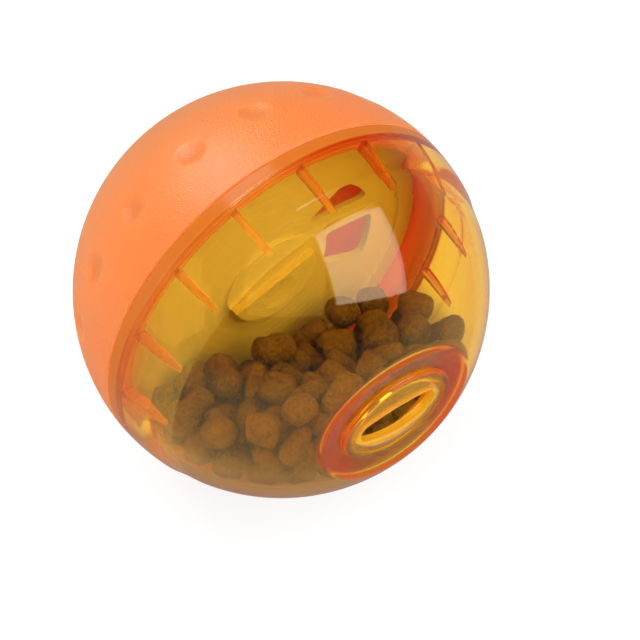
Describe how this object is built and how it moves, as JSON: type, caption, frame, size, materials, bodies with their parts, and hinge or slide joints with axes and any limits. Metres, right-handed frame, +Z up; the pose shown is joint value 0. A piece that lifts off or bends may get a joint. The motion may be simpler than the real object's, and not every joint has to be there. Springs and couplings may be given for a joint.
{
  "type": "treat ball",
  "caption": "Hollow treat ball that unscrews into a see-through half with a dispensing slot and an opaque half with an adjustable divider disc, partly filled with dry kibble.",
  "frame": {"origin": "the point of the belt that touches the floor, straight under the ball's centre, on the plane where the two halves meet", "axes": "-Y along the ball's axis out of the dispensing slot, X along the slot, +Z up"},
  "size_m": [0.1026, 0.0985, 0.1026],
  "materials": {
    "amber_clear": "clear amber, polished",
    "orange_satin": "satin, fine grained",
    "yellow_plastic": "satin moulded",
    "baked_kibble": "dry, baked, rough"
  },
  "bodies": {
    "clear_body": {"clear_half": "amber_clear", "kibble": "baked_kibble"},
    "divider": {"divider_disc": "yellow_plastic"},
    "opaque_body": {"opaque_half": "orange_satin"},
    "adjuster": {"dial": "yellow_plastic", "shutter": "yellow_plastic"}
  },
  "joints": [
    {"name": "thread_travel", "type": "slide", "parent": "clear_body", "child": "divider", "axis": [0, 1, 0], "range_m": [0, 0.0036]},
    {"name": "unscrew", "type": "hinge", "parent": "divider", "child": "opaque_body", "pos_m": [0, 0, 0.0513], "axis": [0, 1, 0], "range_deg": [0, 216]},
    {"name": "shutter_turn", "type": "hinge", "parent": "divider", "child": "adjuster", "pos_m": [0, 0.00505, 0.0513], "axis": [0, 1, 0], "range_deg": [0, 78]}
  ],
  "couplings": [
    {"joint": "thread_travel", "follows": "unscrew", "m_per_rad": 0.00095493}
  ]
}
